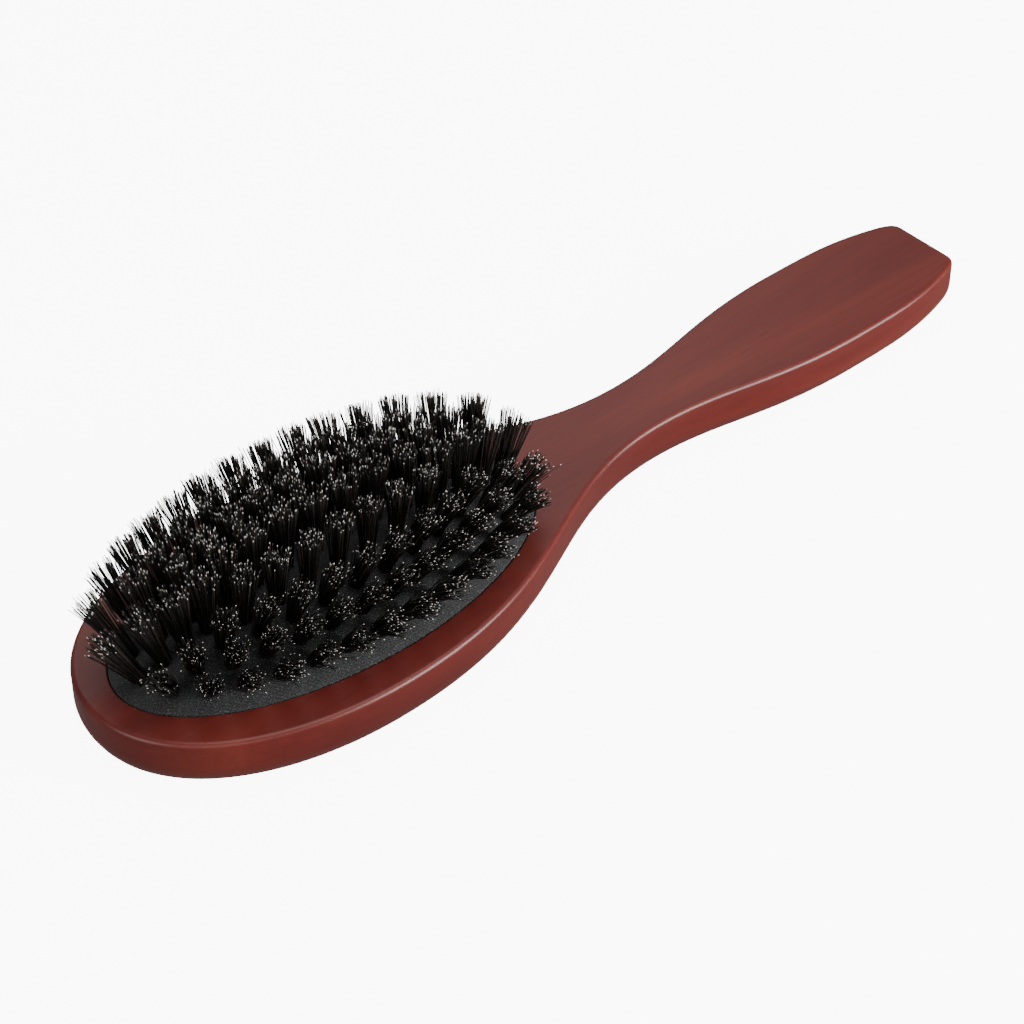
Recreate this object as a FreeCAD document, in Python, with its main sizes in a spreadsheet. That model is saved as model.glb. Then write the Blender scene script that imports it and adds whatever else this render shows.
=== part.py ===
import FreeCAD, Part

"""Oval cushion hairbrush with a one-piece wooden head and handle.

The head has an oval recess. A domed rubber cushion, faced with cloth, closes it and is held by
a bead in an undercut groove, so that the air behind it makes a springy bed. Tufts of bristle pass
through the cushion in oval rings, each tuft folded over a wire staple under the rubber.

Frame: +X from the nose of the head to the end of the handle, +Z the way the bristles point.
The origin is at the middle of the length, on the flat back. All sizes are in millimetres.
"""
import math
import os

SIZES = [
    # one-piece wooden body
    ("body_length", 225.0, "nose of the head to the end of the handle"),
    ("body_thickness", 13.0, "flat back to flat face"),
    ("head_width", 64.0, "widest place of the head"),
    ("nose_length", 50.0, "nose to the widest place"),
    ("neck_distance", 137.5, "nose to the narrowest place"),
    ("neck_width", 15.8, "narrowest place"),
    ("grip_distance", 190.0, "nose to the widest place of the grip"),
    ("grip_width", 28.4, "widest place of the grip"),
    ("tail_width", 20.8, "grip where its end corners start"),
    ("tail_corner", 6.0, "length of the rounded end corners"),
    ("tail_flat", 10.0, "width of the straight cut end"),
    ("tail_slope", -0.3, "sideways run of the outline per millimetre, where the end corners start"),
    ("back_rounding", 7.0, "quarter round along the back edge"),
    ("face_rounding", 1.0, "small round along the face edge"),
    # oval recess and its groove
    ("recess_offset", 55.2, "nose to the middle of the recess"),
    ("recess_length", 99.2, "oval mouth, long way"),
    ("recess_breadth", 49.4, "oval mouth, short way"),
    ("recess_depth", 8.0, "face to the recess floor"),
    ("groove_undercut", 1.6, "groove beyond the mouth"),
    ("groove_top", 1.4, "face to the top of the groove"),
    ("groove_opening", 2.0, "height of the groove"),
    # rubber cushion and its cloth
    ("cushion_clearance", 0.15, "cushion to wood, all round"),
    ("dome_rise", 6.0, "face to the top of the cloth"),
    ("dome_cutoff", 3.0, "height of the ellipsoid left off below the face"),
    ("rubber_wall", 1.5, "thickness of the domed rubber"),
    ("skirt_wall", 1.8, "thickness of the skirt that drops into the recess"),
    ("cloth_wall", 0.5, "thickness of the cloth"),
    ("glue_line", 0.05, "gap that the glue fills"),
    ("vent_bore", 2.0, "air hole through the cushion"),
    ("vent_inset", 2.4, "air hole from the handle end of the mouth"),
    # tufts and staples
    ("ring_margin", 5.0, "recess mouth to the outer ring of tufts"),
    ("centre_breadth", 7.2, "breadth of the centre ring; the rings between are evenly spaced"),
    ("tuft_height", 14.0, "bristle above the cloth"),
    ("tuft_root_width", 2.6, "tuft where it leaves the cloth"),
    ("tuft_tip_width", 5.0, "tuft at its splayed tip"),
    ("tuft_fold", 1.0, "bristle under the rubber, folded over the staple"),
    ("tuft_clearance", 0.15, "tuft to the sides of its hole"),
    ("staple_length", 4.4, "wire staple under each tuft"),
    ("staple_wire", 0.6, "square wire of the staple"),
]

# rings of tufts from the mouth inward: name, outward lean in degrees, number of tufts, squareness
RINGS = [
    ("outer_ring", 28.0, 30, 2.0),
    ("second_ring", 18.0, 26, 2.0),
    ("third_ring", 11.0, 20, 2.0),
    ("centre_ring", 2.5, 16, 2.6),
]
# facets of the pieces that are built from flat faces
TUFT_SIDES = 6
HOLE_SIDES = 4
OVAL_SIDES = 28
DOME_STEPS = 4
BACK_STEPS = 4
FACE_STEPS = 2
# lengths of the outline's tangent handles, as shares of the span that each belongs to
SHOULDER_HANDLES = (0.51, 0.38)
SWELL_HANDLES = (0.34, 0.46)
TAPER_HANDLES = (0.4, 0.35)
CORNER_HANDLE = 0.65
# steps round a ring when its tufts are spaced, and how far a cutting tool runs past what it cuts
RING_STEPS = 2880
OVERRUN = 2.0

doc = FreeCAD.newDocument("cushion_brush")
sheet = doc.addObject("Spreadsheet::Sheet", "sizes")


def fill_sheet():
    """Write each driving size once: value, alias and note."""
    for row, (alias, value, note) in enumerate(SIZES, start=1):
        sheet.set("A%d" % row, str(value))
        sheet.setAlias("A%d" % row, alias)
        sheet.set("B%d" % row, "'" + note)
    doc.recompute()


def size(alias):
    return float(sheet.get(alias))


def vec(x, y, z=0.0):
    return FreeCAD.Vector(x, y, z)


# ---------------------------------------------------------------- wooden body

def bezier(*points):
    """Cubic Bezier edge geometry through its four control points."""
    curve = Part.BezierCurve()
    curve.setPoles([vec(x, y) for x, y in points])
    return curve.toBSpline()


def side_points(inset):
    """Control points of one long side, from the widest place to the cut end, moved in by inset."""
    nose = -size("body_length") / 2
    widest = (nose + size("nose_length"), size("head_width") / 2 - inset)
    neck = (nose + size("neck_distance"), size("neck_width") / 2 - inset)
    grip = (nose + size("grip_distance"), size("grip_width") / 2 - inset)
    end = -nose - inset
    corner = (end - size("tail_corner"), size("tail_width") / 2 - inset)
    cut = (end, size("tail_flat") / 2 * (1 - inset / size("tail_flat")))
    shoulder = neck[0] - widest[0]
    swell = grip[0] - neck[0]
    taper = corner[0] - grip[0]
    handles = [
        (widest[0] + SHOULDER_HANDLES[0] * shoulder, neck[0] - SHOULDER_HANDLES[1] * shoulder),
        (neck[0] + SWELL_HANDLES[0] * swell, grip[0] - SWELL_HANDLES[1] * swell),
    ]
    lead = TAPER_HANDLES[1] * taper
    reach = CORNER_HANDLE * size("tail_corner")
    slope = size("tail_slope")
    before_corner = (corner[0] - lead, corner[1] - slope * lead)
    after_corner = (corner[0] + reach, corner[1] + slope * reach)
    return [
        [widest, (handles[0][0], widest[1]), (handles[0][1], neck[1]), neck],
        [neck, (handles[1][0], neck[1]), (handles[1][1], grip[1]), grip],
        [grip, (grip[0] + TAPER_HANDLES[0] * taper, grip[1]), before_corner, corner],
        [corner, after_corner, (end, (corner[1] + cut[1]) / 2), cut],
    ]


def outline(inset):
    """Closed plan outline of the body, moved in by inset: an elliptical nose and two mirrored sides."""
    nose = -size("body_length") / 2
    middle = vec(nose + size("nose_length"), 0)
    ellipse = Part.Ellipse(middle, size("nose_length") - inset, size("head_width") / 2 - inset)
    edges = [Part.ArcOfEllipse(ellipse, math.pi / 2, 3 * math.pi / 2)]
    spans = side_points(inset)
    for span in spans:
        edges.append(bezier(*[(x, -y) for x, y in span]))
    cut = spans[-1][-1]
    edges.append(Part.LineSegment(vec(cut[0], -cut[1]), vec(cut[0], cut[1])))
    for span in reversed(spans):
        edges.append(bezier(*reversed(span)))
    return edges


def plane_sketch(body, name, height, edges):
    """Sketch on the body's own XY plane, lifted to a height that the sheet gives."""
    sketch = body.newObject("Sketcher::SketchObject", name)
    plane = [f for f in body.Origin.OriginFeatures if f.Role == "XY_Plane"][0]
    sketch.AttachmentSupport = [(plane, "")]
    sketch.MapMode = "FlatFace"
    sketch.setExpression("AttachmentOffset.Base.z", height)
    for edge in edges:
        sketch.addGeometry(edge, False)
    return sketch


def recess_oval(growth):
    """Oval of the recess mouth, grown outward."""
    middle = vec(size("recess_offset") - size("body_length") / 2, 0)
    return [Part.Ellipse(middle, size("recess_length") / 2 + growth, size("recess_breadth") / 2 + growth)]


def pocket(body, name, sketch, length):
    """Pocket down from the sketch, and proof that it took material away."""
    before = body.Tip.Shape.Volume
    feature = body.newObject("PartDesign::Pocket", name)
    feature.Profile = sketch
    feature.setExpression("Length", length)
    doc.recompute()
    if not feature.Shape.Volume < before:
        raise RuntimeError("%s cut nothing" % name)
    return feature


def quarter_round(body, name, radius, steps, base, sign):
    """Loft through outlines that follow a quarter circle from the straight side to a flat face.

    base is the height where the round meets the straight side, and sign the way it goes from there.
    """
    slices = []
    for step in range(steps + 1):
        angle = math.pi / 2 * step / steps
        height = "%s %s sizes.%s * %.6f" % (base, sign, radius, math.sin(angle))
        inset = size(radius) * (1 - math.cos(angle))
        slices.append(plane_sketch(body, "%s_slice_%d" % (name, step), height, outline(inset)))
    doc.recompute()
    loft = body.newObject("PartDesign::AdditiveLoft", name)
    loft.Profile = slices[0]
    loft.Sections = slices[1:]
    loft.Ruled = True
    doc.recompute()
    return loft


def wooden_body():
    """Straight sides padded, both edges rounded by lofts, then the recess and its groove cut."""
    body = doc.addObject("PartDesign::Body", "wooden_body")
    wall = plane_sketch(body, "wall_outline", "sizes.back_rounding", outline(0.0))
    sides = body.newObject("PartDesign::Pad", "straight_sides")
    sides.Profile = wall
    sides.setExpression("Length", "sizes.body_thickness - sizes.back_rounding - sizes.face_rounding")
    doc.recompute()
    quarter_round(body, "rounded_back", "back_rounding", BACK_STEPS, "sizes.back_rounding", "-")
    shoulder = "sizes.body_thickness - sizes.face_rounding"
    quarter_round(body, "rounded_face", "face_rounding", FACE_STEPS, shoulder, "+")
    mouth = plane_sketch(body, "recess_mouth", "sizes.body_thickness", recess_oval(0.0))
    pocket(body, "recess", mouth, "sizes.recess_depth")
    undercut = plane_sketch(
        body, "groove_oval", "sizes.body_thickness - sizes.groove_top", recess_oval(size("groove_undercut"))
    )
    pocket(body, "bead_groove", undercut, "sizes.groove_opening")
    return body


# ---------------------------------------------------------------- cushion

def dome_axes(drop):
    """Semi-axes of the ellipsoid whose top is the cloth surface lowered by drop, along its normal."""
    stand = size("dome_rise") + size("dome_cutoff")
    spread = 1 / math.sqrt(1 - (size("dome_cutoff") / stand) ** 2)
    edge = size("cushion_clearance")
    long_half = (size("recess_length") / 2 - edge) * spread
    short_half = (size("recess_breadth") / 2 - edge) * spread
    return long_half - drop, short_half - drop, stand - drop


def dome_height(x, y):
    """Height of the cloth above the back at a plan position measured from the middle of the oval."""
    long_half, short_half, stand = dome_axes(0.0)
    share = 1 - (x / long_half) ** 2 - (y / short_half) ** 2
    return size("body_thickness") - size("dome_cutoff") + stand * math.sqrt(share)


def flat_solid(rows):
    """Solid of flat faces through rows of corners, closed by a face at each end."""
    faces = [Part.Face(Part.makePolygon(row + [row[0]])) for row in (rows[0], rows[-1])]
    for low, high in zip(rows, rows[1:]):
        for here in range(len(low)):
            after = (here + 1) % len(low)
            corners = [low[here], low[after], high[after], high[here]]
            faces.append(Part.Face(Part.makePolygon(corners + [corners[0]])))
    solid = Part.Solid(Part.Shell(faces))
    if solid.Volume < 0:
        solid.reverse()
    return solid


def oval_row(half_x, half_y, height):
    """Corners of a many-sided oval about the middle of the recess."""
    middle = size("recess_offset") - size("body_length") / 2
    row = []
    for side in range(OVAL_SIDES):
        angle = 2 * math.pi * side / OVAL_SIDES
        row.append(vec(middle + half_x * math.cos(angle), half_y * math.sin(angle), height))
    return row


def oval_slab(growth, low, high):
    """Flat-sided slab of the recess oval, grown outward."""
    half_x = size("recess_length") / 2 + growth
    half_y = size("recess_breadth") / 2 + growth
    return flat_solid([oval_row(half_x, half_y, low), oval_row(half_x, half_y, high)])


def oval_ring(outer, inner, low, high):
    return oval_slab(outer, low, high).cut(oval_slab(inner, low - OVERRUN, high + OVERRUN))


def dome(drop):
    """Flat-faceted solid under the cloth surface lowered by drop, from the face of the wood upward."""
    long_half, short_half, stand = dome_axes(drop)
    floor = size("body_thickness") - size("dome_cutoff")
    lowest = math.asin(size("dome_cutoff") / stand)
    rows = []
    for step in range(DOME_STEPS):
        latitude = lowest + (math.pi / 2 - lowest) * step / (DOME_STEPS - 0.5)
        spread = math.cos(latitude)
        rows.append(oval_row(long_half * spread, short_half * spread, floor + stand * math.sin(latitude)))
    return flat_solid(rows)


def frustum(start, axis, length, sides, width_low, width_high):
    """Two rows of corners, of a prism or frustum from start along axis, widths across the flats."""
    turn = FreeCAD.Rotation(vec(0, 0, 1), axis)
    rows = []
    for along, width in ((0.0, width_low), (length, width_high)):
        radius = width / 2 / math.cos(math.pi / sides)
        row = []
        for side in range(sides):
            angle = 2 * math.pi * (side + 0.5) / sides
            corner = vec(radius * math.cos(angle), radius * math.sin(angle), along)
            row.append(start + turn.multVec(corner))
        rows.append(row)
    return rows


def ring_points(inset, count, squareness):
    """Evenly spaced points on a superellipse inside the recess mouth, each with its outward normal."""
    half_x = size("recess_length") / 2 - inset
    half_y = size("recess_breadth") / 2 - inset
    power = 2 / squareness
    track = []
    for step in range(RING_STEPS + 1):
        angle = 2 * math.pi * step / RING_STEPS
        c = math.cos(angle)
        s = math.sin(angle)
        track.append((math.copysign(abs(c) ** power, c) * half_x, math.copysign(abs(s) ** power, s) * half_y))
    run = [0.0]
    for (x0, y0), (x1, y1) in zip(track, track[1:]):
        run.append(run[-1] + math.hypot(x1 - x0, y1 - y0))
    points = []
    cursor = 0
    for number in range(count):
        target = run[-1] * number / count
        while run[cursor + 1] < target:
            cursor += 1
        x, y = track[cursor]
        normal_x = math.copysign(abs(x / half_x) ** (squareness - 1), x) / half_x
        normal_y = math.copysign(abs(y / half_y) ** (squareness - 1), y) / half_y
        length = math.hypot(normal_x, normal_y)
        points.append((x, y, normal_x / length, normal_y / length))
    return points


def ring_tufts(number):
    """Foot on the cloth, leaning axis and ring direction of each tuft of a ring, 0 for the outer one."""
    _, lean, count, squareness = RINGS[number]
    innermost = (size("recess_breadth") - size("centre_breadth")) / 2
    inset = size("ring_margin") + (innermost - size("ring_margin")) * number / (len(RINGS) - 1)
    tilt = math.radians(lean)
    middle = size("recess_offset") - size("body_length") / 2
    tufts = []
    for x, y, normal_x, normal_y in ring_points(inset, count, squareness):
        foot = vec(middle + x, y, dome_height(x, y))
        axis = vec(normal_x * math.sin(tilt), normal_y * math.sin(tilt), math.cos(tilt))
        along = vec(-normal_y, normal_x, 0)
        tufts.append((foot, axis, along))
    return tufts


def root_depth():
    """Length of tuft below the cloth surface, through cloth and rubber to the staple."""
    return size("cloth_wall") + size("glue_line") + size("rubber_wall") + size("tuft_fold")


def tuft_holes():
    """Straight cutting bar for the hole of every tuft."""
    width = size("tuft_root_width") / math.cos(math.pi / TUFT_SIDES) + 2 * size("tuft_clearance")
    depth = root_depth() + OVERRUN
    length = depth + 2 * OVERRUN
    holes = []
    for number in range(len(RINGS)):
        for foot, axis, _ in ring_tufts(number):
            holes.append(flat_solid(frustum(foot - axis * depth, axis, length, HOLE_SIDES, width, width)))
    return holes


def vent():
    """Air hole near the handle end of the cushion."""
    x = size("recess_offset") - size("body_length") / 2 + size("recess_length") / 2 - size("vent_inset")
    return Part.makeCylinder(size("vent_bore") / 2, 3 * size("body_thickness"), vec(x, 0, 0))


def add_shape(name, shape):
    feature = doc.addObject("Part::Feature", name)
    feature.Shape = shape
    return feature


def cushion_rubber(holes):
    """Domed rubber with a skirt and the bead that sits in the groove."""
    face = size("body_thickness")
    gap = size("cushion_clearance")
    bead_top = face - size("groove_top") - gap
    bead_low = face - size("groove_top") - size("groove_opening") + gap
    bead = oval_ring(size("groove_undercut") - gap, -size("skirt_wall"), bead_low, bead_top)
    skirt = oval_ring(-gap, -size("skirt_wall"), bead_low, face)
    top = size("cloth_wall") + size("glue_line")
    crown = dome(top).cut(dome(top + size("rubber_wall")))
    solid = bead.fuse([skirt, crown]).cut(holes + [vent()])
    return add_shape("cushion_rubber", solid.Solids[0])


def cushion_cloth(holes):
    """Thin cloth bonded over the rubber dome."""
    shell = dome(0.0).cut(dome(size("cloth_wall")))
    solid = shell.cut(holes + [vent()])
    return add_shape("cushion_cloth", solid.Solids[0])


# ---------------------------------------------------------------- bristles

def bristle_ring(name, tufts):
    """Tufts of one ring, straight through the cushion and splayed above it."""
    root = size("tuft_root_width")
    solids = []
    for foot, axis, _ in tufts:
        rows = frustum(foot - axis * root_depth(), axis, root_depth(), TUFT_SIDES, root, root)
        rows += frustum(foot, axis, size("tuft_height"), TUFT_SIDES, root, size("tuft_tip_width"))[1:]
        solids.append(flat_solid(rows))
    return add_shape("bristles_" + name, Part.makeCompound(solids))


def staple_ring(name, tufts):
    """Square-wire staples of one ring, each lying under its tuft along the ring."""
    wire = size("staple_wire")
    length = size("staple_length")
    solids = []
    for foot, axis, along in tufts:
        bar = Part.makeBox(length, wire, wire, vec(-length / 2, -wire / 2, -wire - size("glue_line")))
        seat = foot - axis * root_depth()
        matrix = FreeCAD.Matrix()
        across = axis.cross(along)
        matrix.A11, matrix.A21, matrix.A31 = along.x, along.y, along.z
        matrix.A12, matrix.A22, matrix.A32 = across.x, across.y, across.z
        matrix.A13, matrix.A23, matrix.A33 = axis.x, axis.y, axis.z
        matrix.A14, matrix.A24, matrix.A34 = seat.x, seat.y, seat.z
        bar.Placement = FreeCAD.Placement(matrix)
        solids.append(bar)
    return add_shape("staples_" + name, Part.makeCompound(solids))


# ---------------------------------------------------------------- build and export

def check(parts):
    """Stop on any failed feature, and on any piece that is empty or not valid."""
    for thing in doc.Objects:
        if "Invalid" in thing.State or "Error" in thing.State:
            raise RuntimeError("%s failed: %s" % (thing.Name, thing.State))
    for part in parts:
        if part.Shape.isNull() or not part.Shape.isValid() or not part.Shape.Solids:
            raise RuntimeError("%s has no valid solid" % part.Label)


def main():
    fill_sheet()
    parts = [wooden_body()]
    holes = tuft_holes()
    parts.append(cushion_rubber(holes))
    parts.append(cushion_cloth(holes))
    for number, ring in enumerate(RINGS):
        tufts = ring_tufts(number)
        parts.append(bristle_ring(ring[0], tufts))
        parts.append(staple_ring(ring[0], tufts))
    doc.recompute()
    check(parts)
    os.makedirs("parts", exist_ok=True)
    for part in parts:
        part.Shape.exportStep("parts/%s.step" % part.Label)
        print(part.Label, len(part.Shape.Solids), "solids", round(part.Shape.Volume, 1), "mm3")


main()
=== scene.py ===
import math

import bmesh
import bpy
import numpy as np
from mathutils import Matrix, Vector


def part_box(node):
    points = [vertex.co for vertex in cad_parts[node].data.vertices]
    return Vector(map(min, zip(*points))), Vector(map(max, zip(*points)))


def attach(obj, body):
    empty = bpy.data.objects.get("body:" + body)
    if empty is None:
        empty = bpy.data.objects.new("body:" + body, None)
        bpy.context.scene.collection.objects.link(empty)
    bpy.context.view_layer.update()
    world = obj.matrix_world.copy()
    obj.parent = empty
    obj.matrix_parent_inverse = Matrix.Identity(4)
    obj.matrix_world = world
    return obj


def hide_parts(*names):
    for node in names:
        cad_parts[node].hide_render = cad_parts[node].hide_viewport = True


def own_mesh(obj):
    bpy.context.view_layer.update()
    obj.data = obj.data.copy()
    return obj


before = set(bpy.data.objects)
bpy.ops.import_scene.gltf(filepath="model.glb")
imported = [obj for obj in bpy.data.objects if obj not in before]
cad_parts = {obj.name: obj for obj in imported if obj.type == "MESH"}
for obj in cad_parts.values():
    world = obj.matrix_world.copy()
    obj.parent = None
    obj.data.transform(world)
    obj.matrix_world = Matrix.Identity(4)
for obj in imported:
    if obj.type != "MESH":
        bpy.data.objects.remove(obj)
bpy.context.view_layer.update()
MM = 0.001


# ------------------------------------------------------------------ camera, floor and light
# The brush lies on its back on a pale table, seen from above its nose and its near side.
# Large soft lights stand round it, so the lacquer shows broad pale reflections.

CAMERA_AZIMUTH = -41.3
CAMERA_ELEVATION = 41.07
CAMERA_DISTANCE = 0.6006
CAMERA_LENS = 105.5
CAMERA_TARGET = Vector((-0.0170, -0.00855, 0.013))


def direction(azimuth, elevation):
    """Unit vector from the object toward a viewer or a light at that azimuth and elevation."""
    a = math.radians(azimuth)
    e = math.radians(elevation)
    return Vector((math.sin(a) * math.cos(e), -math.cos(a) * math.cos(e), math.sin(e)))


def aim(thing, azimuth, elevation, distance, target):
    """Put a camera or a light at that distance from the target and turn it toward the target."""
    back = direction(azimuth, elevation)
    thing.location = target + back * distance
    thing.rotation_mode = "QUATERNION"
    thing.rotation_quaternion = (-back).to_track_quat("-Z", "Y")


camera = bpy.data.objects.new("camera", bpy.data.cameras.new("camera"))
camera.data.lens = CAMERA_LENS
camera.data.sensor_width = 36.0
camera.data.clip_start = 0.01
aim(camera, CAMERA_AZIMUTH, CAMERA_ELEVATION, CAMERA_DISTANCE, CAMERA_TARGET)
bpy.context.scene.collection.objects.link(camera)
bpy.context.scene.camera = camera

SOFT_BOXES = [
    # name, azimuth, elevation, distance, width, power, place along X that it points at
    ("handle_side_box", 24.0, 12.0, 0.75, 0.5, 14.5, 0.10),
    ("near_side_box", -35.0, 14.0, 0.9, 0.6, 1.8, -0.04),
    ("nose_side_box", -85.0, 16.0, 0.8, 0.5, 3.2, -0.08),
    ("overhead_box", 60.0, 78.0, 1.0, 0.7, 4.6, -0.04),
    ("far_side_box", 150.0, 38.0, 1.2, 0.8, 2.0, -0.04),
]
for name, azimuth, elevation, distance, width, power, along in SOFT_BOXES:
    box_light = bpy.data.objects.new(name, bpy.data.lights.new(name, "AREA"))
    box_light.data.size = width
    box_light.data.energy = power
    box_light.visible_camera = False
    aim(box_light, azimuth, elevation, distance, Vector((along, 0, 0.01)))
    bpy.context.scene.collection.objects.link(box_light)

ROOM_STRENGTH = 0.22
world = bpy.data.worlds.new("pale_room")
world.use_nodes = True
world.node_tree.nodes["Background"].inputs["Color"].default_value = (1.0, 1.0, 1.0, 1.0)
world.node_tree.nodes["Background"].inputs["Strength"].default_value = ROOM_STRENGTH
bpy.context.scene.world = world


class Wire:
    """A shader socket that takes part in arithmetic: each operator adds its Math node."""

    def __init__(self, finish, socket):
        self.finish = finish
        self.socket = socket

    def maths(self, operation, *values):
        return self.finish.node("ShaderNodeMath", {"operation": operation}, dict(enumerate(values)))

    def __add__(self, other):
        return self.maths("ADD", self, other)

    def __sub__(self, other):
        return self.maths("SUBTRACT", self, other)

    def __rsub__(self, other):
        return self.maths("SUBTRACT", other, self)

    def __mul__(self, other):
        return self.maths("MULTIPLY", self, other)

    def __gt__(self, other):
        return self.maths("GREATER_THAN", self, other)

    __radd__ = __add__
    __rmul__ = __mul__

    def sine(self):
        return self.maths("SINE", self)

    def size(self):
        return self.maths("ABSOLUTE", self)


class Finish:
    """A material under construction, with its Principled shader ready."""

    def __init__(self, name, **fixed):
        self.material = bpy.data.materials.new(name)
        self.material.use_nodes = True
        self.tree = self.material.node_tree
        self.shader = self.tree.nodes["Principled BSDF"]
        for socket, value in fixed.items():
            self.shader.inputs[socket.replace("_", " ")].default_value = value

    def node(self, kind, settings=None, inputs=None, output=0):
        """Add a node: its settings first (stops are a ramp's), then its sockets' values or links."""
        made = self.tree.nodes.new(kind)
        for key, value in (settings or {}).items():
            if key == "stops":
                ramp = made.color_ramp.elements
                while len(ramp) < len(value):
                    ramp.new(0.5)
                for stop, (place, colour) in zip(ramp, value):
                    stop.position = place
                    stop.color = (*colour, 1.0)
            else:
                setattr(made, key, value)
        for key, value in (inputs or {}).items():
            self.feed(made.inputs[key], value)
        return Wire(self, made.outputs[output])

    def feed(self, socket, value):
        if isinstance(value, Wire):
            self.tree.links.new(value.socket, socket)
        else:
            socket.default_value = value

    def shade(self, **inputs):
        for socket, value in inputs.items():
            self.feed(self.shader.inputs[socket.replace("_", " ")], value)

    def place(self, scale=(1.0, 1.0, 1.0)):
        """Object coordinates, in metres, stretched by scale."""
        where = self.node("ShaderNodeTexCoord", output="Object")
        return self.node("ShaderNodeMapping", {}, {"Vector": where, "Scale": scale})

    def noise(self, vector, scale, detail=2.0, roughness=0.5, distortion=0.0):
        sockets = {"Vector": vector, "Scale": scale, "Detail": detail}
        sockets.update({"Roughness": roughness, "Distortion": distortion})
        return self.node("ShaderNodeTexNoise", {}, sockets)

    def ramp(self, factor, stops):
        return self.node("ShaderNodeValToRGB", {"stops": stops}, {"Fac": factor})

    def mix(self, factor, first, second):
        """Colour mix of two colours. The colour sockets of a Mix node are 6 and 7 in, and 2 out."""
        first, second = (c if isinstance(c, Wire) else (*c, 1.0) for c in (first, second))
        sockets = {0: factor, 6: first, 7: second}
        return self.node("ShaderNodeMix", {"data_type": "RGBA"}, sockets, output=2)

    def split(self, vector):
        """First and second component of a vector."""
        first = self.node("ShaderNodeSeparateXYZ", {}, {"Vector": vector})
        return first, Wire(self, first.socket.node.outputs[1])

    def bump(self, height, depth, strength=1.0):
        sockets = {"Height": height, "Distance": depth, "Strength": strength}
        return self.node("ShaderNodeBump", {}, sockets)


def grid_piece(name, grid, material, close_u=True, close_v=False):
    """Mesh from a grid of points, rows along v and columns round u, quads between neighbours."""
    rows, columns = grid.shape[:2]
    row = np.arange(rows if close_v else rows - 1)[:, None]
    column = np.arange(columns if close_u else columns - 1)[None, :]
    right = (column + 1) % columns
    above = (row + 1) % rows
    low_side = [row * columns + column, row * columns + right]
    high_side = [above * columns + right, above * columns + column]
    quads = np.stack(low_side + high_side, -1).reshape(-1, 4)
    mesh = bpy.data.meshes.new(name)
    mesh.from_pydata(grid.reshape(-1, 3).tolist(), [], quads.tolist())
    mesh.materials.append(material)
    mesh.shade_smooth()
    piece = bpy.data.objects.new(name, mesh)
    bpy.context.scene.collection.objects.link(piece)
    return piece


WELD_DISTANCE = 1e-7


def weld(piece):
    """Merge points that coincide, and turn every face outward."""
    shape = bmesh.new()
    shape.from_mesh(piece.data)
    bmesh.ops.remove_doubles(shape, verts=shape.verts, dist=WELD_DISTANCE)
    bmesh.ops.dissolve_degenerate(shape, edges=shape.edges, dist=WELD_DISTANCE)
    bmesh.ops.recalc_face_normals(shape, faces=shape.faces)
    shape.to_mesh(piece.data)
    shape.free()
    piece.data.shade_smooth()
    return piece


table_top = Finish(
    "pale_table",
    Base_Color=(0.9, 0.9, 0.9, 1.0),
    Roughness=0.9,
    Emission_Color=(1.0, 1.0, 1.0, 1.0),
    Emission_Strength=9.0,
)
FLOOR_HALF = 15.0
floor_edge = np.linspace(-FLOOR_HALF, FLOOR_HALF, 2)
floor_x, floor_y = np.meshgrid(floor_edge, floor_edge)
floor = grid_piece(
    "floor", np.stack([floor_x, floor_y, 0 * floor_x], -1), table_top.material, close_u=False
)
floor.visible_diffuse = False
floor.visible_glossy = False


# ------------------------------------------------------------------ wooden body
# Head and handle are one piece of wood, cut to an outline, routed to a quarter round along the
# back and eased along the face. The face has an oval recess with an undercut groove for the
# cushion's bead. The wood is stained dark red and lacquered.

wood_low, wood_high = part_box("wooden_body")
BODY_LENGTH = wood_high.x - wood_low.x + 0.8 * MM
BODY_TOP = wood_high.z
HEAD_HALF = wood_high.y
NOSE_X = wood_low.x
NOSE_LENGTH = 50.0 * MM
NOSE_SQUARENESS = 2.1
NOSE_EXTRA = 0.6 * MM
NECK_X = NOSE_X + 137.5 * MM
NECK_HALF = 7.9 * MM
GRIP_X = NOSE_X + 190.0 * MM
GRIP_HALF = 14.2 * MM
TAIL_HALF = 10.9 * MM
TAIL_CORNER = 4.5 * MM
TAIL_FLAT_HALF = 7.0 * MM
TAIL_SLOPE = -0.3
BACK_ROUNDING = 7.0 * MM
FACE_ROUNDING = 1.0 * MM
RECESS_X = NOSE_X + 55.2 * MM
RECESS_HALF_LENGTH = 49.6 * MM
RECESS_HALF_BREADTH = 24.7 * MM
RECESS_DEPTH = 8.0 * MM
# where the flat face starts inside the outline, and the eased edge of the recess mouth
FACE_FLAT_INSET = 1.2 * MM
MOUTH_EASE = 0.3 * MM
# recess below its eased edge: growth of the oval and depth under the face, in mm
GROOVE_SECTION = [(0.0, 1.4), (1.6, 1.4), (1.6, 3.4), (0.0, 3.4), (0.0, 8.0)]
# lengths of the outline's tangent handles, as shares of the span that each belongs to
SHOULDER_HANDLES = (0.51, 0.38)
SWELL_HANDLES = (0.34, 0.46)
TAPER_HANDLES = (0.4, 0.35)
CORNER_HANDLE = 0.65
SPAN_POINTS = 400
OUTLINE_POINTS = 420
RECESS_POINTS = 240


def bezier(points, t):
    """Cubic Bezier: the four control points weighted by the Bernstein polynomials of t."""
    a, b, c, d = (np.array(p, float) for p in points)
    t = t[:, None]
    return (1 - t) ** 3 * a + 3 * (1 - t) ** 2 * t * b + 3 * (1 - t) * t**2 * c + t**3 * d


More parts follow.
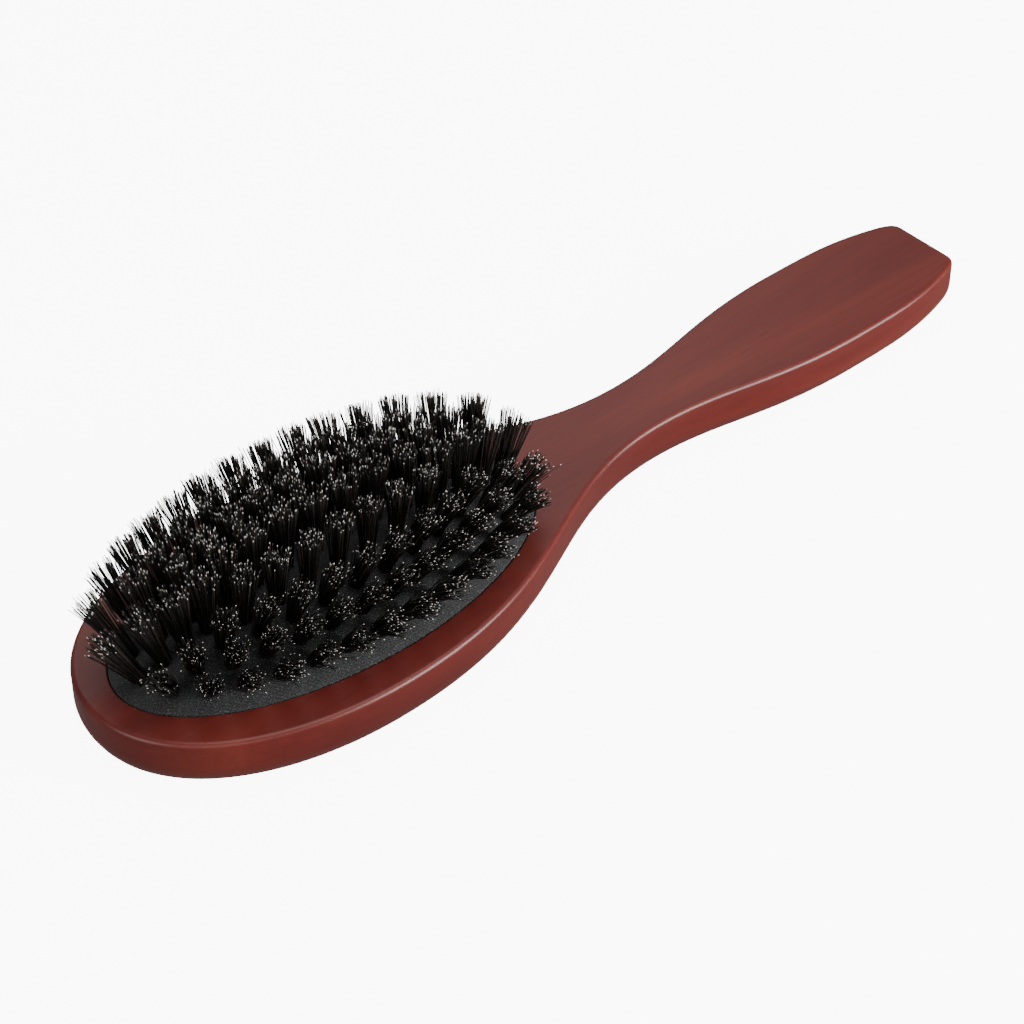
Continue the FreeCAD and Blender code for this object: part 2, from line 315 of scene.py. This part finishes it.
def half_outline(samples):
    """Far half of the outline, nose to tail, at even steps along its length.

    A quarter superellipse from the nose to the widest place, then Bezier spans to the neck, to the
    widest place of the grip, to the end corner, round the corner and straight to the middle.
    """
    widest = (NOSE_X + NOSE_LENGTH, HEAD_HALF)
    neck = (NECK_X, NECK_HALF)
    grip = (GRIP_X, GRIP_HALF)
    end = NOSE_X + BODY_LENGTH
    corner = (end - TAIL_CORNER, TAIL_HALF)
    cut = (end, TAIL_FLAT_HALF)
    shoulder = neck[0] - widest[0]
    swell = grip[0] - neck[0]
    taper = corner[0] - grip[0]
    lead = TAPER_HANDLES[1] * taper
    reach = CORNER_HANDLE * TAIL_CORNER
    t = np.linspace(0, 1, SPAN_POINTS)
    turn = math.pi - t * math.pi / 2
    power = 2 / NOSE_SQUARENESS
    nose_run = widest[0] - (NOSE_LENGTH + NOSE_EXTRA) * np.abs(np.cos(turn)) ** power
    nose = np.stack([nose_run, HEAD_HALF * np.abs(np.sin(turn)) ** power], -1)
    after_widest = (widest[0] + SHOULDER_HANDLES[0] * shoulder, widest[1])
    before_neck = (neck[0] - SHOULDER_HANDLES[1] * shoulder, neck[1])
    after_neck = (neck[0] + SWELL_HANDLES[0] * swell, neck[1])
    before_grip = (grip[0] - SWELL_HANDLES[1] * swell, grip[1])
    after_grip = (grip[0] + TAPER_HANDLES[0] * taper, grip[1])
    before_corner = (corner[0] - lead, corner[1] - TAIL_SLOPE * lead)
    after_corner = (corner[0] + reach, corner[1] + TAIL_SLOPE * reach)
    before_cut = (end, 0.5 * (corner[1] + cut[1]))
    spans = [
        nose,
        bezier([widest, after_widest, before_neck, neck], t),
        bezier([neck, after_neck, before_grip, grip], t),
        bezier([grip, after_grip, before_corner, corner], t),
        bezier([corner, after_corner, before_cut, cut], t),
        np.stack([np.full(SPAN_POINTS, end), TAIL_FLAT_HALF * (1 - t)], -1),
    ]
    path = np.concatenate(spans)
    run = np.concatenate([[0], np.cumsum(np.hypot(*np.diff(path, axis=0).T))])
    even = np.linspace(0, run[-1], samples)
    return np.stack([np.interp(even, run, path[:, 0]), np.interp(even, run, path[:, 1])], -1)


def closed_outline(samples):
    """Whole outline and its outward normals, counter-clockwise seen from above."""
    half = half_outline(samples)
    near = half[1:-1] * (1, -1)
    loop = np.concatenate([near, half[::-1]])
    step = np.roll(loop, -1, 0) - np.roll(loop, 1, 0)
    normal = np.stack([step[:, 1], -step[:, 0]], -1)
    for _ in range(3):
        normal = (np.roll(normal, 1, 0) + 2 * normal + np.roll(normal, -1, 0)) / 4
    return loop, normal / np.linalg.norm(normal, axis=1, keepdims=True)


def oval_loop(angles, growth, height):
    """Oval of the recess mouth, grown outward, at the given angles and height."""
    x = RECESS_X + (RECESS_HALF_LENGTH + growth) * np.cos(angles)
    y = (RECESS_HALF_BREADTH + growth) * np.sin(angles)
    return np.stack([x, y, np.full_like(x, height)], -1)


def lower_body():
    """The outline carried round a section: the back, quarter round, side, eased edge and face."""
    loop, normal = closed_outline(OUTLINE_POINTS)

    def ring(inset, height, narrow=1.0):
        flat = (loop - normal * inset) * (1, narrow)
        return np.concatenate([flat, np.full((len(flat), 1), height)], 1)

    rows = [ring(BACK_ROUNDING, 0.0, share) for share in (0.0, 0.3, 0.6, 0.85, 0.97)]
    for angle in np.linspace(0, math.pi / 2, 13):
        height = BACK_ROUNDING * (1 - math.cos(angle))
        rows.append(ring(BACK_ROUNDING * (1 - math.sin(angle)), height))
    rows.append(ring(0.0, (BACK_ROUNDING + BODY_TOP) / 2))
    for angle in np.linspace(0, math.pi / 2, 7):
        inset = FACE_ROUNDING * (1 - math.cos(angle))
        rows.append(ring(inset, BODY_TOP - FACE_ROUNDING * (1 - math.sin(angle))))
    rows.append(ring(FACE_FLAT_INSET, BODY_TOP))
    return np.stack(rows)


def recess_wall():
    """The oval mouth carried down a section: eased edge, wall, undercut groove, wall, flat floor."""
    angles = np.linspace(0, 2 * math.pi, RECESS_POINTS, endpoint=False)
    rows = [oval_loop(angles, MOUTH_EASE * 1.2, BODY_TOP)]
    for angle in np.linspace(0, math.pi / 2, 5):
        drop = MOUTH_EASE * (1 - math.cos(angle))
        rows.append(oval_loop(angles, MOUTH_EASE * (1 - math.sin(angle)), BODY_TOP - drop))
    for growth, depth in GROOVE_SECTION:
        rows.append(oval_loop(angles, growth * MM, BODY_TOP - depth * MM))
    centre = np.array([RECESS_X, 0, BODY_TOP - RECESS_DEPTH])
    rows.append(centre + (rows[-1] - centre) * (0.0, 0.0, 1.0))
    return np.stack(rows)


def wooden_body(material):
    """The body below its face, the recess, and the flat face that joins their two open edges."""
    outside = grid_piece("wood_head_and_handle", lower_body(), material)
    inside = grid_piece("recess", recess_wall(), material)
    shape = bmesh.new()
    shape.from_mesh(outside.data)
    shape.from_mesh(inside.data)
    bmesh.ops.remove_doubles(shape, verts=shape.verts, dist=WELD_DISTANCE)
    bmesh.ops.dissolve_degenerate(shape, edges=shape.edges, dist=WELD_DISTANCE)
    open_edges = [edge for edge in shape.edges if edge.is_boundary]
    bmesh.ops.triangle_fill(shape, edges=open_edges, use_beauty=True)
    bmesh.ops.recalc_face_normals(shape, faces=shape.faces)
    shape.to_mesh(outside.data)
    shape.free()
    outside.data.shade_smooth()
    bpy.data.objects.remove(inside)
    return outside


def stained_wood():
    """Red-brown stain over long grain: slow bands, fine fibres and short dark pores, all along X."""
    lacquer = {"Coat_Weight": 0.22, "Coat_Roughness": 0.34, "Specular_Tint": (1.0, 0.88, 0.86, 1.0)}
    finish = Finish("stained_wood", IOR=1.42, **lacquer)
    bands = finish.noise(finish.place((5.0, 45.0, 45.0)), 1.0, 3.0, 0.5, 0.5)
    fibres = finish.noise(finish.place((30.0, 900.0, 900.0)), 1.0, 4.0, 0.6)
    pores = finish.noise(finish.place((140.0, 3200.0, 3200.0)), 1.0, 1.0)
    tone = bands * 0.82 + fibres * 0.18
    dark_stain = (0.078, 0.0098, 0.0076)
    middle_stain = (0.122, 0.0165, 0.0118)
    pale_stain = (0.180, 0.030, 0.0175)
    pore_stain = (0.040, 0.005, 0.004)
    stain = finish.ramp(tone, [(0.32, dark_stain), (0.5, middle_stain), (0.70, pale_stain)])
    pore = finish.ramp(pores, [(0.66, (0.0, 0.0, 0.0)), (0.80, (0.5, 0.5, 0.5))])
    finish.shade(Base_Color=finish.mix(pore, stain, pore_stain), Roughness=0.34 + 0.10 * fibres)
    finish.shade(Normal=finish.bump(fibres, 0.00002, 0.2))
    return finish.material


wood = wooden_body(stained_wood())
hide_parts("wooden_body")
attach(wood, "brush")


# ------------------------------------------------------------------ tufts
# Each tuft is a bundle of stiff natural bristles, folded over a wire staple and pulled up through
# the cushion, so it is tight at its foot and splays toward its tips. Most cut tips get a painted
# highlight.

BRISTLES_PER_TUFT = 90
BRISTLE_ROOT = 0.125 * MM
BRISTLE_TIP = 0.095 * MM
BRISTLE_SIDES = 3
BRISTLE_SHARES = np.array([0.0, 0.25, 0.5, 0.75, 0.978, 1.0])
# share of the tuft's foot that its bristles fill
FOOT_FILL = 0.9
# splay of the tips against the CAD tuft's, how much less of it a near tuft has, and its scatter
SPLAY = 1.18
NEAR_TIGHTER = 0.22
SPLAY_SCATTER = 0.10
# how a bristle's splay and its bend grow along it
SPLAY_POWER = 1.4
BEND_POWER = 1.6
# sideways wander of a bristle's tip, and the few that stray, by so much more
WANDER = 0.25 * MM
STRAY_SHARE = 0.025
STRAY_EXTRA = 4
# length against the tuft's: middle, scatter and the shortest
LENGTH_MIDDLE = 0.97
LENGTH_SCATTER = 0.045
LENGTH_LEAST = 0.80
# sine of the outer ring's lean, against which the lean of the others is measured
FULL_LEAN = 0.47
# how far the tips of each ring are bent, out and down in mm, on the near side
BENT = {
    "outer_ring": (0.6, 5.2),
    "second_ring": (2.0, 4.2),
    "third_ring": (2.4, 2.8),
    "centre_ring": (0.6, 0.8),
}
NEAR_POWER = 0.7
FAR_START = 0.3
FAR_RISE = 1.3 * MM
# the same, out and up, at the nose end and at the handle end of every ring
NOSE_BENT = (1.2, 1.4)
HANDLE_BENT = (-2.2, 1.0)
RINGS = ("outer_ring", "second_ring", "third_ring", "centre_ring")


def islands(count, edges):
    """Label of each point's connected piece: edges hand on the lower label until none changes."""
    label = np.arange(count)
    while True:
        lower = label.copy()
        np.minimum.at(lower, edges[:, 0], label[edges[:, 1]])
        np.minimum.at(lower, edges[:, 1], label[edges[:, 0]])
        if (lower == label).all():
            return label
        label = lower


def tuft_places(node):
    """Root, foot, tip and half-widths of each tuft, from the rings of corners of its CAD solid.

    The root is where the tuft ends over its staple, and the foot is where it leaves the cloth.
    """
    shape = bmesh.new()
    shape.from_mesh(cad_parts[node].data)
    bmesh.ops.remove_doubles(shape, verts=shape.verts, dist=1e-6)
    merged = bpy.data.meshes.new("merged")
    shape.to_mesh(merged)
    shape.free()
    points = np.zeros(len(merged.vertices) * 3)
    merged.vertices.foreach_get("co", points)
    points = points.reshape(-1, 3)
    edges = np.zeros(len(merged.edges) * 2, int)
    merged.edges.foreach_get("vertices", edges)
    label = islands(len(points), edges.reshape(-1, 2))
    order = np.lexsort((points[:, 2], label))
    corners = points[order].reshape(-1, 3, len(points) // len(np.unique(label)) // 3, 3)
    bpy.data.meshes.remove(merged)
    middles = corners.mean(2)
    half = np.linalg.norm(corners - middles[:, :, None], axis=3).mean(2)
    return middles[:, 0], middles[:, 1], middles[:, 2], half[:, 1], half[:, 2]


def bristle_ring(name, material, seed):
    """Every bristle of a ring as a thin three-sided tube along a curved path.

    A path starts at a random place of the tuft's root, runs along the tuft and moves outward with
    SPLAY_POWER of its share of the length, to a random place of the splayed tip.
    """
    rng = np.random.default_rng(seed)
    root, foot, tip, half_low, half_high = tuft_places("bristles_" + name)
    tufts = len(foot)
    axis = tip - foot
    reach = np.linalg.norm(axis, axis=1, keepdims=True)
    axis = axis / reach
    side = np.cross(axis, (0.0, 0.0, 1.0)) + (1e-6, 0, 0)
    side /= np.linalg.norm(side, axis=1, keepdims=True)
    across = np.cross(axis, side)
    shape = (tufts, BRISTLES_PER_TUFT)
    angle = rng.uniform(0, 2 * np.pi, shape)
    spread = np.sqrt(rng.uniform(0.0, 1.0, shape))
    low = half_low[:, None] * FOOT_FILL * spread
    outward = axis * (1.0, 1.0, 0.0)
    outward /= np.linalg.norm(outward, axis=1, keepdims=True)
    near = np.clip(-outward[:, 1:2], 0, 1) ** NEAR_POWER
    splay = (SPLAY - NEAR_TIGHTER * near) * spread
    high = half_high[:, None] * (splay + SPLAY_SCATTER * rng.standard_normal(shape))
    stray = 1 + STRAY_EXTRA * (rng.uniform(0, 1, shape) < STRAY_SHARE)[..., None]
    drift = rng.normal(0, WANDER, shape + (2,)) * stray
    length = reach * np.clip(rng.normal(LENGTH_MIDDLE, LENGTH_SCATTER, shape), LENGTH_LEAST, 1.0)
    lean = np.linalg.norm(axis[:, :2], axis=1, keepdims=True) / FULL_LEAN
    far = np.clip(FAR_START + outward[:, 1:2], 0, 1) * lean
    out, down = BENT[name]
    bend = near * MM * (outward * out - np.array([0, 0, down]))
    bend = bend + far * np.array([0, 0, FAR_RISE])
    for end, (end_out, end_up) in ((-1, NOSE_BENT), (1, HANDLE_BENT)):
        share_of_end = np.clip(end * outward[:, :1], 0, 1) ** 2 * lean
        bend = bend + share_of_end * MM * (outward * end_out + np.array([0, 0, end_up]))
    share = BRISTLE_SHARES
    steps = len(share) - 1
    radial = low[..., None] + (high - low)[..., None] * share**SPLAY_POWER
    u = radial * np.cos(angle)[..., None] + drift[..., 0, None] * share**2
    v = radial * np.sin(angle)[..., None] + drift[..., 1, None] * share**2
    depth = np.linalg.norm(foot - root, axis=1, keepdims=True)
    along = -depth[..., None] + (length + depth)[..., None] * share
    path = (
        foot[:, None, None]
        + axis[:, None, None] * along[..., None]
        + side[:, None, None] * u[..., None]
        + across[:, None, None] * v[..., None]
        + bend[:, None, None] * share[:, None] ** BEND_POWER
    )
    corner_turn = np.arange(BRISTLE_SIDES) * 2 * np.pi / BRISTLE_SIDES
    turn = corner_turn + rng.uniform(0, 6.28, shape)[..., None]
    radius = BRISTLE_ROOT + (BRISTLE_TIP - BRISTLE_ROOT) * share
    rim = (
        side[:, None, None, None] * np.cos(turn)[:, :, None, :, None]
        + across[:, None, None, None] * np.sin(turn)[:, :, None, :, None]
    )
    tube = path[:, :, :, None] + rim * radius[None, None, :, None, None]
    count = tufts * BRISTLES_PER_TUFT
    per = (steps + 1) * BRISTLE_SIDES
    points = tube.reshape(-1, 3)
    ring_of = np.arange(steps)[:, None] * BRISTLE_SIDES
    here = np.arange(BRISTLE_SIDES)[None]
    after = (here + 1) % BRISTLE_SIDES
    above = ring_of + BRISTLE_SIDES
    lower = np.stack([ring_of + here, ring_of + after, above + after], -1).reshape(-1, 3)
    upper = np.stack([ring_of + here, above + after, above + here], -1).reshape(-1, 3)
    caps = np.array([[2, 1, 0], [per - 3, per - 2, per - 1]])
    one = np.concatenate([lower, upper, caps])
    faces = (one[None] + (np.arange(count) * per)[:, None, None]).reshape(-1, 3)
    mesh = bpy.data.meshes.new("bristles_" + name)
    mesh.from_pydata(points.tolist(), [], faces.tolist())
    tone = rng.uniform(0, 1, count)
    uv_point = np.stack(
        [np.repeat(tone, per), np.tile(np.repeat(share, BRISTLE_SIDES), count)], -1
    )
    layer = mesh.uv_layers.new(name="UVMap")
    layer.data.foreach_set("uv", uv_point[faces.reshape(-1)].astype(np.float32).ravel())
    mesh.materials.append(material)
    mesh.shade_smooth()
    piece = bpy.data.objects.new("tufts_" + name, mesh)
    bpy.context.scene.collection.objects.link(piece)
    return piece


def natural_bristle():
    """Near-black brown bristle, each of its own tone, with a painted highlight on most cut tips."""
    finish = Finish("natural_bristle", Roughness=0.38, IOR=1.5)
    tone, share = finish.split(finish.node("ShaderNodeTexCoord", output="UV"))
    black = (0.009, 0.0085, 0.008)
    brown_black = (0.017, 0.0145, 0.013)
    brown = (0.055, 0.041, 0.031)
    body = finish.ramp(tone, [(0.0, black), (0.75, brown_black), (1.0, brown)])
    tip = finish.ramp(share, [(0.972, (0.0, 0.0, 0.0)), (0.985, (1.0, 1.0, 1.0))])
    # painted highlight: most bristles are near-white over the last share of their length
    tip_glint = finish.ramp(tone, [(0.5, (0.02, 0.018, 0.016)), (0.9, (0.80, 0.76, 0.71))])
    finish.shade(Base_Color=finish.mix(tip, body, tip_glint))
    return finish.material


bristle_material = natural_bristle()
for number, ring_name in enumerate(RINGS):
    tufts = bristle_ring(ring_name, bristle_material, seed=20 + number)
    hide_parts("bristles_" + ring_name)
    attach(tufts, ring_name)


# ------------------------------------------------------------------ cushion
# A domed rubber membrane closes the recess, with a bead in the groove of the wood. A thin black
# woven cloth is bonded over it. Each tuft pulls the cloth down a little round its foot.

DOME_RISE = 6.0 * MM
DOME_CUTOFF = 3.0 * MM
CUSHION_GAP = 0.15 * MM
CLOTH_WALL = 0.5 * MM
RUBBER_WALL = 1.5 * MM
GLUE_LINE = 0.05 * MM
# edge of the cloth tucked into the mouth, and the grids of the cloth and of the rubber
CLOTH_TUCK = 0.6 * MM
CLOTH_GRID = (60, 220)
RUBBER_GRID = (40, 160)
# how deep and how wide each tuft pulls the cushion down
DIMPLE_DEPTH = 0.35 * MM
DIMPLE_RADIUS = 1.9 * MM
THREAD_PITCH = 0.42 * MM


def dome_points(drop, rows, columns, tuck):
    """Rows of points on the cushion's ellipsoid, lowered by drop, from a tucked edge to the top.

    Latitude runs from the height of the wood's face to the pole, longitude all the way round.
    """
    stand = DOME_RISE + DOME_CUTOFF
    spread = 1 / math.sqrt(1 - (DOME_CUTOFF / stand) ** 2)
    half_x = (RECESS_HALF_LENGTH - CUSHION_GAP) * spread - drop
    half_y = (RECESS_HALF_BREADTH - CUSHION_GAP) * spread - drop
    tall = stand - drop
    lowest = math.asin(DOME_CUTOFF / tall)
    latitude = lowest + (math.pi / 2 - lowest) * np.linspace(0, 1, rows)[:, None]
    longitude = 2 * math.pi * np.arange(columns)[None] / columns
    x = RECESS_X + half_x * np.cos(latitude) * np.cos(longitude)
    y = half_y * np.cos(latitude) * np.sin(longitude)
    z = BODY_TOP - DOME_CUTOFF + tall * np.sin(latitude) + 0 * longitude
    dome = np.stack([x, y, z], -1)
    edge = dome[:1] - (0, 0, tuck)
    return np.concatenate([edge, dome])


feet = np.concatenate([tuft_places("bristles_" + ring_name)[1] for ring_name in RINGS])


def dimple(points):
    """Lower each point near a tuft's foot by a bell curve of its plan distance."""
    gap = np.linalg.norm(points[..., None, :2] - feet[:, :2], axis=-1)
    depth = DIMPLE_DEPTH * np.exp(-((gap / DIMPLE_RADIUS) ** 2)).sum(-1)
    sunk = points.copy()
    sunk[..., 2] -= depth
    return sunk


def cloth_weave():
    """Plain weave of fine threads: warp and weft ridges that swap over and under.

    Painted shade makes the colour darker between the threads, and bright specks are painted glints.
    """
    finish = Finish("cushion_weave", Roughness=0.85, Sheen_Weight=0.08, Sheen_Roughness=0.5)
    along, across = finish.split(finish.place())
    warp = (along * (math.pi / THREAD_PITCH)).sine()
    weft = (across * (math.pi / THREAD_PITCH)).sine()
    over = (warp * weft) > 0.0
    threads = over * warp.size() + (1.0 - over) * weft.size()
    # bright specks on the cloth: painted glints of the threads
    glint_noise = finish.noise(finish.place((3600.0, 3600.0, 3600.0)), 1.0, 1.0)
    glint_mask = finish.ramp(glint_noise, [(0.57, (0.0, 0.0, 0.0)), (0.66, (1.0, 1.0, 1.0))])
    # painted shade: darker between the threads and paler on their crowns
    base = finish.mix(threads, (0.0025, 0.0026, 0.0028), (0.0095, 0.0100, 0.0108))
    finish.shade(Base_Color=finish.mix(glint_mask, base, (0.045, 0.047, 0.048)))
    finish.shade(Normal=finish.bump(threads, 0.00012, 0.6))
    return finish.material


cloth_outer = dimple(dome_points(0.0, *CLOTH_GRID, CLOTH_TUCK))
cloth_inner = dimple(dome_points(CLOTH_WALL, *CLOTH_GRID, CLOTH_TUCK))
cloth_shell = np.concatenate([cloth_outer, cloth_inner[::-1]])
cloth = weld(grid_piece("cushion_facing", cloth_shell, cloth_weave(), close_v=True))
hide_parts("cushion_cloth")
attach(cloth, "brush")


def moulded_rubber():
    """Matt black rubber with a faint bloom."""
    finish = Finish("moulded_rubber")
    bloom = finish.noise(finish.place((120.0, 120.0, 120.0)), 1.0, 3.0)
    dark, pale = (0.012, 0.012, 0.012), (0.028, 0.028, 0.028)
    finish.shade(Base_Color=finish.ramp(bloom, [(0.3, dark), (0.7, pale)]))
    finish.shade(Roughness=0.55 + 0.2 * bloom)
    return finish.material


rubber_material = moulded_rubber()
rubber_outer = dimple(dome_points(CLOTH_WALL + GLUE_LINE, *RUBBER_GRID, 0.0))
rubber_inner = dimple(dome_points(CLOTH_WALL + GLUE_LINE + RUBBER_WALL, *RUBBER_GRID, 0.0))
rubber_shell = np.concatenate([rubber_outer, rubber_inner[::-1]])
rubber = weld(grid_piece("cushion_membrane", rubber_shell, rubber_material, close_v=True))
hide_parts("cushion_rubber")
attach(rubber, "brush")

# skirt and bead under the dome: growth of the oval and depth under the face, in mm
bead_section = [(-0.15, 0.0), (-0.15, 1.55), (1.45, 1.55), (1.45, 3.25), (-1.8, 3.25), (-1.8, 0.0)]
round_angles = np.linspace(0, 2 * math.pi, RUBBER_GRID[1], endpoint=False)
bead_rows = [
    oval_loop(round_angles, growth * MM, BODY_TOP - depth * MM) for growth, depth in bead_section
]
bead = weld(grid_piece("cushion_bead", np.stack(bead_rows), rubber_material, close_v=True))
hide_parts("cushion_rubber")
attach(bead, "brush")

# the cloth and the rubber each get a mesh of their own
for soft in (cloth, rubber):
    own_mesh(soft)


# ------------------------------------------------------------------ staples
# A short square steel wire lies under each tuft, inside the cushion.

def staple_wire():
    """Drawn steel with faint marks along the wire."""
    finish = Finish("staple_wire", Metallic=1.0)
    marks = finish.noise(finish.place((900.0, 900.0, 900.0)), 1.0, 2.0)
    dark, bright = (0.42, 0.42, 0.41), (0.60, 0.60, 0.58)
    finish.shade(Base_Color=finish.ramp(marks, [(0.3, dark), (0.7, bright)]))
    finish.shade(Roughness=0.28 + 0.2 * marks)
    return finish.material


staple_material = staple_wire()
for ring_name in RINGS:
    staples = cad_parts["staples_" + ring_name]
    staples.data.materials.clear()
    staples.data.materials.append(staple_material)
